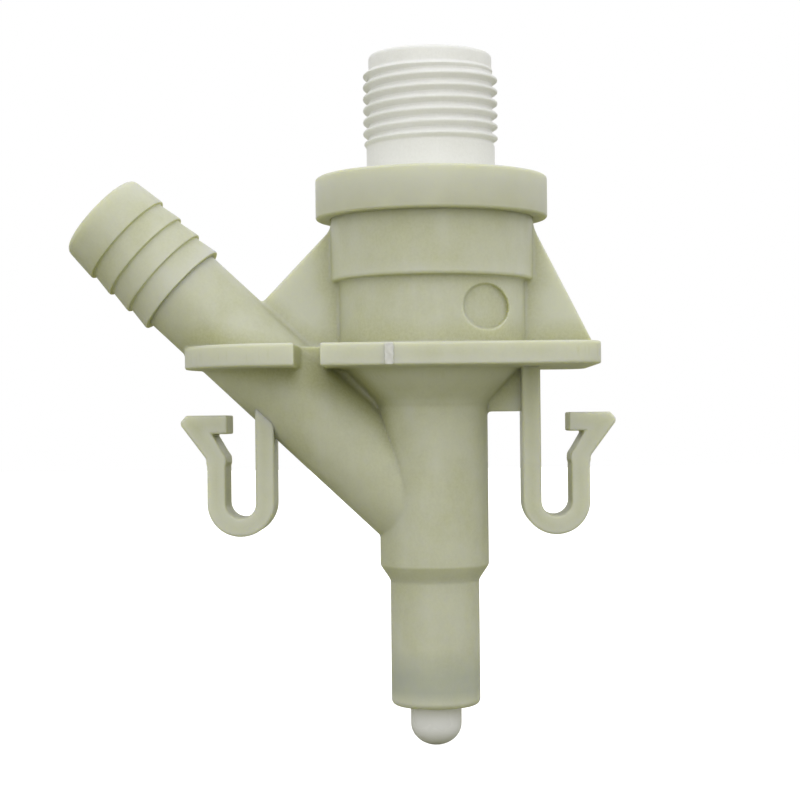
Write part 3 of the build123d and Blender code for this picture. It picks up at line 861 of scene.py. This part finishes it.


# Painted shade: the stem's guide shows as a darker band through the lower tube, and the drum's wall through
# the collar.
guide_shade_band = (stem_bore_end_z, -46.0, (0.46, 0.485, 0.42, 1))
drum_shade_band = (collar_low[2], 25.0, (0.52, 0.525, 0.395, 1))
nylon_look = dict(colour=(0.60, 0.61, 0.485, 1), deep=(0.535, 0.545, 0.375, 1), roughness=0.44, sss=0.75,
                  radius=(3.0, 3.0, 1.3), grain=0.3, milky=(0.66, 0.67, 0.60, 1),
                  shade_tone=(0.47, 0.475, 0.27, 1))
nylon = plastic("body_nylon", **nylon_look, band=guide_shade_band)
collar_nylon = plastic("collar_nylon", **nylon_look, band=drum_shade_band)
inlet_white = plastic("inlet_nylon", (0.86, 0.86, 0.85, 1), (0.82, 0.82, 0.805, 1), 0.42, 0.5,
                      (1.2, 1.2, 1.1))
acetal = plastic("plunger_acetal", (0.88, 0.88, 0.89, 1), (0.85, 0.85, 0.865, 1), 0.3, 0.4,
                 (0.8, 0.8, 0.8), 0.1)
strainer_white = plastic("strainer_plastic", (0.74, 0.76, 0.77, 1), (0.7, 0.72, 0.74, 1), 0.4, 0.4,
                         (0.8, 0.8, 0.8))
gate_white = plastic("gate_scar", (0.80, 0.80, 0.74, 1), (0.75, 0.75, 0.68, 1), 0.6, 0.5,
                     (1.0, 1.0, 0.8), 0.3)
black = rubber("black_rubber")
spring_steel = steel("spring_steel", (0.52, 0.52, 0.53))
screen_steel = steel("screen_steel", (0.48, 0.48, 0.49))


def finished(obj, material, nodes, body="housing"):
    """Material, the CAD nodes it stands for, and the body it rides on."""
    obj.data.materials.clear()
    obj.data.materials.append(material)
    if nodes:
        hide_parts(*nodes)
    if body:
        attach(obj, body)
    return obj


body_step, clip_step, cage_step, gate_step = ((0.32, 0.25, 0.16, 0.09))
body_keep = 0.28
margin = 1.0

valve_body = moulded("valve_body_shell", body_distance, body_low - margin, body_high + margin, body_step,
                     body_keep)
finished(store_thickness_and_shade(valve_body, moulding_distance), nylon, ["valve_body"])

# Saw teeth that face the body: a steep shoulder, a narrow land and a long slope to the next root.
teeth = [(barb_mouth_r, barb_length, 0.3), (barb_mouth_r, barb_shoulder, 0.05)]
for tooth in reversed(range(barb_teeth)):
    shoulder = barb_length - barb_lead - tooth * barb_pitch
    if tooth < barb_teeth - 1:
        teeth.append((barb_root_r, shoulder, 0.3))
    teeth.append((barb_crest_r, shoulder, 0.16))
    teeth.append((barb_crest_r, shoulder + barb_land, 0.25))
teeth.append((barb_root_r, barb_length, 1.5))
barb = lathed("barb_teeth", teeth, 192, barb_foot, barb_out)
finished(store_thickness_and_shade(barb, skin_distance), nylon, [])

gate_side, gate_front, gate_rim = 1.2, 0.6, 0.4
gate = moulded("gate_mark", gate_distance, (gate_x - gate_side, -flange_half_y - gate_front, -gate_rim),
               (gate_x + gate_side, -flange_half_y + gate_front, flange_thickness + gate_rim), gate_step)
finished(gate, gate_white, [])

# ---- Snap clips ----
clip_margin = 0.6
for name, side in (("left", -1), ("right", 1)):
    post_low, post_high = box_mm(f"{name}_clip_post")
    hook_low, hook_high = box_mm(f"{name}_hook")
    post_x = post_high[0] if side < 0 else post_low[0]
    low = np.minimum(post_low, hook_low) - clip_margin
    high = np.maximum(post_high, hook_high) + clip_margin
    high[2] = clip_cut_z + clip_margin
    field = clip_distance(side, post_x)
    clip = moulded(f"{name}_clip", field, low, high, clip_step)
    finished(store_thickness_and_shade(clip, field), nylon, [f"{name}_clip_post", f"{name}_hook"], None)
    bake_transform(clip)

# ---- Collar ----
collar_hole_r, collar_skirt_r = 10.15, 15.75
collar_step_z = drum_top_z + 0.05
collar = lathed("collar", [
    (collar_hole_r, collar_step_z, 0.15), (collar_skirt_r, collar_step_z, 0.1),
    (collar_skirt_r, collar_low[2], 0.2), (collar_high[0], collar_low[2], collar_edge),
    (collar_high[0], collar_high[2], collar_edge), (collar_hole_r, collar_high[2], 0.3)], 224)
finished(store_thickness_and_shade(collar, skin_distance), collar_nylon, ["retaining_collar"])

# ---- Inlet fitting with its helical thread ----
thread_low, thread_high, pitch = 34.0, 46.5, 1.814
left_crest_z = 34.75
crest_r, root_r, neck_r, lead_r = 10.5, 9.65, 10.0, 9.6
crest_half, flank_run, flank_curve = 0.13, 0.62, 0.45
thread_start, start_run, end_run = 0.1, 1.2, 1.0
inlet_bore_r, throat_r, throat_top_z = 7.3, 5.0, 31.0
inlet_flange_r, inlet_flange_low_z, inlet_flange_top_z = 13.4, 24.25, 27.45
spigot_r, spigot_end_z = 11.2, 21.0


def eased(t):
    """A smooth step from 0 to 1."""
    return t * t * (3 - 2 * t)


def thread_radius(turned, z):
    """Radius of the thread's surface where the angle is turned (0 to 1 round) at level z."""
    phase = ((z - left_crest_z) / pitch - turned) % 1.0
    off = np.abs(phase - 0.5) * pitch
    flank = np.clip((off - crest_half) / flank_run, 0, 1)
    flank = eased(flank) * flank_curve + flank * (1 - flank_curve)
    crest = crest_r - (crest_r - root_r) * flank
    rise = np.clip((z - thread_low - thread_start) / start_run, 0, 1)
    fall = np.clip((thread_high - z) / end_run, 0, 1)
    base = np.where(z < (thread_low + thread_high) / 2, neck_r, lead_r)
    return base + (crest - base) * eased(np.minimum(rise, fall))


# The thread is a grid that climbs one pitch each turn, so its rows follow the crests and its
# last column meets its first a pitch higher.
columns, per_pitch = ((256, 16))
rows = int((thread_high - thread_low) / pitch * per_pitch) + per_pitch + 2
turned = np.arange(columns)[:, None] / columns
level = thread_low + pitch * ((np.arange(rows)[None, :] - per_pitch) / per_pitch + turned)
level = np.clip(level, thread_low, thread_high)
radius = thread_radius(turned, level)
angle = 2 * np.pi * turned
threaded = np.stack([radius * np.cos(angle), radius * np.sin(angle), level], -1)
i, j = np.meshgrid(np.arange(columns), np.arange(rows), indexing="ij")
number = i * rows + j
inside_grid = i < columns - 1
right = np.where(inside_grid, number + rows, j + per_pitch)
ok = (j < rows - 1) & (np.where(inside_grid, j + 1, j + per_pitch + 1) < rows)
quads = np.stack([number, right, np.roll(right, -1, 1), np.roll(number, -1, 1)], -1)[ok]

# The rest of the fitting, from the thread's foot round under its flange and up the bore to the rim.
places = np.array([
    (neck_r, thread_low), (neck_r, inlet_flange_top_z + 0.15), (neck_r + 0.15, inlet_flange_top_z),
    (inlet_flange_r - 0.2, inlet_flange_top_z), (inlet_flange_r, inlet_flange_top_z - 0.2),
    (inlet_flange_r, inlet_flange_low_z + 0.2), (inlet_flange_r - 0.2, inlet_flange_low_z),
    (spigot_r, inlet_flange_low_z), (spigot_r, spigot_end_z + 0.15), (spigot_r - 0.15, spigot_end_z),
    (throat_r + 0.2, spigot_end_z), (throat_r, spigot_end_z + 0.2), (throat_r, throat_top_z),
    (inlet_bore_r, throat_top_z), (inlet_bore_r, inlet_top - 0.35), (inlet_bore_r + 0.1, inlet_top - 0.1),
    (inlet_bore_r + 0.35, inlet_top), (lead_r - 0.6, inlet_top), (lead_r - 0.25, inlet_top - 0.12),
    (lead_r - 0.05, inlet_top - 0.35), (lead_r, inlet_top - 0.7), (lead_r, thread_high)])
ring, ring_quads, _ = about(places, places, columns, closed=False)
fitting_verts = np.concatenate([threaded.reshape(-1, 3), ring])
fitting_mesh = listed_mesh("inlet", fitting_verts, quads.tolist() + (ring_quads + columns * rows).tolist())
work = bmesh.new()
work.from_mesh(fitting_mesh)
bmesh.ops.remove_doubles(work, verts=work.verts, dist=2e-7)
bmesh.ops.dissolve_degenerate(work, dist=1e-7, edges=work.edges)
bmesh.ops.recalc_face_normals(work, faces=work.faces)
work.to_mesh(fitting_mesh)
work.free()
smooth(fitting_mesh)
fitting_mesh.set_sharp_from_angle(angle=math.radians(38))
finished(add("inlet", fitting_mesh), inlet_white, ["inlet_fitting"])


# ---- Rings, washers and inserts ----
def o_ring(name, node, body):
    low, high = box_mm(node)
    section = (high[2] - low[2]) / 2
    middle = np.array([high[0] - section, (low[2] + high[2]) / 2])
    angle = 2 * np.pi * np.arange(28) / 28
    normals = np.stack([np.cos(angle), np.sin(angle)], 1)
    verts, quads, norms = about(normals * section + middle, normals, 128)
    return finished(add(name, write_mesh(name, verts, quads, norms)), black, [node], body)


o_ring("inlet_seal_ring", "inlet_o_ring", "housing")
o_ring("stem_ring_upper", "upper_stem_o_ring", "plunger")
o_ring("stem_ring_lower", "lower_stem_o_ring", "plunger")

insert_r = 7.2
washer_hole_r, washer_mouth_r, washer_mouth_z = 2.4, 4.2, 32.6
low, high = box_mm("flow_washer")
washer = lathed("flow_disc", [
    (washer_hole_r, low[2], 0.15), (insert_r, low[2], 0.2), (insert_r, high[2], 0.2),
    (washer_mouth_r, high[2], 0.3), (washer_hole_r, washer_mouth_z, 0.4)], 128)
finished(washer, black, ["flow_washer"])

stem_neck_r, seal_r = 2.5, 8.0
low, high = box_mm("poppet_seal")
seal = lathed("poppet_disc", [
    (stem_neck_r, low[2], 0.1), (seal_r, low[2], 0.3), (seal_r, high[2], 0.3),
    (stem_neck_r, high[2], 0.1)], 128)
finished(seal, black, ["poppet_seal"], "plunger")

poppet_hole_r, poppet_r, poppet_boss_r, poppet_top_z = 2.55, 7.6, 4.2, 2.2
low, high = box_mm("poppet_cap")
cap = lathed("poppet_retainer", [
    (poppet_hole_r, low[2], 0.1), (poppet_r, low[2], 0.2), (poppet_r, poppet_top_z, 0.3),
    (poppet_boss_r, poppet_top_z, 0.3), (poppet_boss_r, high[2], 0.25), (poppet_hole_r, high[2], 0.15)], 128)
finished(cap, acetal, ["poppet_cap"], "plunger")

backing_hole_r = 5.2
low, high = box_mm("spring_washer")
backing = lathed("spring_backing", [
    (backing_hole_r, low[2], 0.06), (insert_r, low[2], 0.1), (insert_r, high[2], 0.1),
    (backing_hole_r, high[2], 0.06)], 128)
finished(backing, spring_steel, ["spring_washer"])

guide_hole_r = 4.02
low, high = box_mm("stem_guide")
bush = lathed("guide_bush", [
    (guide_hole_r, low[2], 0.15), (stem_bore_r, low[2], 0.15), (stem_bore_r, high[2], 0.3),
    (guide_hole_r, high[2], 0.4)], 96)
finished(bush, acetal, ["stem_guide"])

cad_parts["push_on_washer"].data.materials.clear()
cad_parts["push_on_washer"].data.materials.append(spring_steel)

# ---- Plunger stem ----
tip_z, dome_z, tip_r = stem_low[2], -55.2, 3.95
piston_r, piston_end_z, piston_top_z = 5.0, -44.0, -31.2
groove_r, groove_half, groove_levels = 3.35, 0.9, (-41.5, -36.5)
shank_r, shoulder_r, shoulder_low_z, shoulder_z = 2.6, 5.4, -3.2, -1.4
dome = [(tip_r * math.sin(a), dome_z + (tip_z - dome_z) * math.cos(a), 0.3)
        for a in np.linspace(0, math.pi / 2, 13)]
dome[0] = (0.0, tip_z, 0.0)
piston = [(tip_r, piston_end_z, 0.2), (piston_r - 0.5, piston_end_z, 0.1),
          (piston_r, piston_end_z + 0.4, 0.2)]
for z in groove_levels:
    piston += [(piston_r, z - groove_half, 0.12), (groove_r, z - groove_half, 0.15),
               (groove_r, z + groove_half, 0.15), (piston_r, z + groove_half, 0.12)]
piston += [(piston_r, piston_top_z - 0.6, 0.2), (piston_r - 0.6, piston_top_z, 0.2)]
shank = [(shank_r, piston_top_z, 0.5), (shank_r, -6.0, 0.5), (shoulder_r, shoulder_low_z, 0.2),
         (shoulder_r, shoulder_z, 0.2), (stem_neck_r, shoulder_z, 0.15), (stem_neck_r, stem_high[2], 0.4),
         (0.0, stem_high[2], 0.0)]
stem = capped("plunger", dome + piston + shank)
finished(stem, acetal, ["plunger_stem"], "plunger")

# ---- Return spring, with closed ends ----
wire_r, coil_r, turns, end_turns, wire_sides = 0.55, 6.2, 8.5, 0.9, 14
low, high = box_mm("return_spring")
free = high[2] - low[2]
t = np.linspace(0, 1, 480)
lift = np.clip((t - end_turns / turns) / (1 - 2 * end_turns / turns), 0, 1)
path = np.stack([coil_r * np.cos(2 * np.pi * turns * t), coil_r * np.sin(2 * np.pi * turns * t),
                 low[2] + wire_r + (free - 2 * wire_r) * lift], 1)
coil = gathered("spring_coil", [(path, wire_r, wire_sides)])
finished(coil, spring_steel, ["return_spring"])
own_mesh(coil)

# ---- Strainer ----
ribs_low, ribs_high = box_mm("strainer_frame")
ring_top = ribs_low[2] + 1.6
crown_foot = ribs_high[2] - 0.8
crown_r, ring_middle_r, ring_half, rib_half = 2.3, 6.6, 0.6, 0.45
rib_outline = [(6.0, ring_top - 0.4), (6.9, ring_top - 0.4), (crown_r, ribs_high[2]), (1.4, ribs_high[2]),
               (1.4, crown_foot)]


def strainer_distance(p):
    """The strainer's frame: a ring, a small crown above it and four ribs between them."""
    x, y, z = p[:, 0], p[:, 1], p[:, 2]
    rho = np.hypot(x, y)
    ring = meet(np.abs(rho - ring_middle_r) - ring_half,
                np.abs(z - (ribs_low[2] + ring_top) / 2) - (ring_top - ribs_low[2]) / 2, 0.2)
    crown = drum(rho, z, crown_r, crown_foot, ribs_high[2], 0.25)
    ribs = np.minimum(*[meet(polygon(np.abs(ahead), z, rib_outline), np.abs(across) - rib_half, 0.15)
                        for across, ahead in ((x, y), (y, x))])
    return smooth_min(smooth_min(ring, crown, 0.3), ribs, 0.4)


cage = moulded("strainer_cage", strainer_distance, ribs_low - 0.5, ribs_high + 0.5, cage_step)
finished(cage, strainer_white, ["strainer_frame"])

# Woven wires on a cone: some run up it and pass over and under the ones that run round.
screen_low, screen_high = box_mm("strainer_screen")
bottom_r, top_r, wire, wire_sides, screen_gap = 5.8, 1.3, 0.075, 5, 0.1
upright_count, round_count, up_points, round_points = 40, 22, 45, 120
up_wave, round_wave = 0.07, 0.05


def on_cone(s):
    """The screen's radius and level a share s of the way up."""
    z = screen_low[2] + screen_gap + (screen_high[2] - screen_low[2] - 2 * screen_gap) * s
    return bottom_r + (top_r - bottom_r) * s, z


uprights, rounds = [], []
s = np.linspace(0, 1, up_points)
r, z = on_cone(s)
for k in range(upright_count):
    a = 2 * math.pi * k / upright_count
    wave = up_wave * np.cos(math.pi * round_count * s) * (1 if k % 2 else -1)
    path = np.stack([(r + wave) * math.cos(a), (r + wave) * math.sin(a), z + wave * 0.6], 1)
    uprights.append((path, wire, wire_sides))
a = np.linspace(0, 2 * math.pi, round_points, endpoint=False)
for k in range(round_count):
    r, z = on_cone((k + 0.5) / round_count)
    wave = round_wave * np.cos(upright_count / 2 * a) * (1 if k % 2 else -1)
    path = np.stack([(r + wave) * np.cos(a), (r + wave) * np.sin(a), np.full(round_points, z)], 1)
    rounds.append((path, wire, wire_sides))
screen = gathered("strainer_mesh", uprights, rounds)
finished(screen, screen_steel, ["strainer_screen"])

# ---- Camera ----
camera_place = (0, -280.8, -8.1)
yaw, tilt, roll = math.radians(1.055), math.radians(0.64), math.radians(0.57)
camera_data = bpy.data.cameras.new("camera")
camera_data.lens = 81.0
camera_data.sensor_width = 36.0
camera_data.clip_start = 0.01
camera_data.clip_end = 10.0
camera = add("camera", camera_data)
bpy.context.scene.camera = camera
camera.location = Vector(camera_place) * MM
ahead = Vector((-math.sin(yaw), math.cos(yaw), math.sin(tilt))).normalized()
right_way = Vector((math.cos(roll), math.sin(yaw), -math.sin(roll)))
right_way = (right_way - ahead * right_way.dot(ahead)).normalized()
camera.rotation_mode = "QUATERNION"
camera.rotation_quaternion = Matrix((right_way, right_way.cross(ahead), -ahead)).transposed().to_quaternion()

# ---- Floor, backdrop and light ----
scene = bpy.context.scene
scene.view_settings.view_transform = "Standard"
scene.view_settings.look = "None"


def by_camera(tree, seen, otherwise):
    """The first shader where the camera looks straight at it, and the second for light that bounces."""
    rays = tree.nodes.new("ShaderNodeLightPath")
    choose = tree.nodes.new("ShaderNodeMixShader")
    tree.links.new(rays.outputs["Is Camera Ray"], choose.inputs[0])
    tree.links.new(otherwise.outputs[0], choose.inputs[1])
    tree.links.new(seen.outputs[0], choose.inputs[2])
    return choose.outputs[0]


# A pale paper floor, which throws only a little olive light up at the plastic.
floor_z = cad_low[2] - 0.0005
half = 1.6
floor_mesh = bpy.data.meshes.new("floor")
floor_mesh.from_pydata([(-half, -half, floor_z), (half, -half, floor_z), (half, half, floor_z),
                        (-half, half, floor_z)], [], [(0, 1, 2, 3)])
floor = add("floor", floor_mesh)
paper, tree, bsdf = shader("paper")
where = tree.nodes.new("ShaderNodeTexCoord").outputs["Object"]
fibre = noise(tree, where, 30.0)
tree.links.new(mixed(tree, fibre, (0.9, 0.9, 0.9, 1), (0.93, 0.93, 0.93, 1)), bsdf.inputs["Base Color"])
bsdf.inputs["Roughness"].default_value = 0.9
bsdf.inputs["Specular IOR Level"].default_value = 0.1
glow = tree.nodes.new("ShaderNodeEmission")
glow.inputs["Strength"].default_value = 0.75
lit = tree.nodes.new("ShaderNodeAddShader")
tree.links.new(bsdf.outputs[0], lit.inputs[0])
tree.links.new(glow.outputs[0], lit.inputs[1])
bounce = tree.nodes.new("ShaderNodeBsdfDiffuse")
bounce.inputs["Color"].default_value = (0.29, 0.29, 0.175, 1)
tree.links.new(by_camera(tree, lit, bounce), tree.nodes["Material Output"].inputs["Surface"])
floor_mesh.materials.append(paper)

world = bpy.data.worlds.new("studio")
scene.world = world
world.use_nodes = True
tree = world.node_tree
backdrop, fill = tree.nodes["Background"], tree.nodes.new("ShaderNodeBackground")
for shade, strength in ((backdrop, 1.0), (fill, 0.86)):
    shade.inputs["Color"].default_value = (1, 1, 1, 1)
    shade.inputs["Strength"].default_value = strength
tree.links.new(by_camera(tree, backdrop, fill), tree.nodes["World Output"].inputs["Surface"])


def softbox(name, offset, side, watts):
    """A square area light at an offset in metres from the part's middle, which it faces."""
    data = bpy.data.lights.new(name, "AREA")
    data.shape = "RECTANGLE"
    data.size, data.size_y = side, side
    data.energy = watts
    lamp = add(name, data)
    lamp.location = centre + Vector(offset)
    lamp.rotation_mode = "QUATERNION"
    lamp.rotation_quaternion = (centre - lamp.location).to_track_quat("-Z", "Y")


centre = (cad_low + cad_high) / 2
softbox("key", (0.12, -0.35, 0.45), 0.5, 0.55)
softbox("front", (-0.05, -0.7, 0.1), 0.6, 1.0)
softbox("top", (0, 0.05, 0.6), 0.6, 0.2)
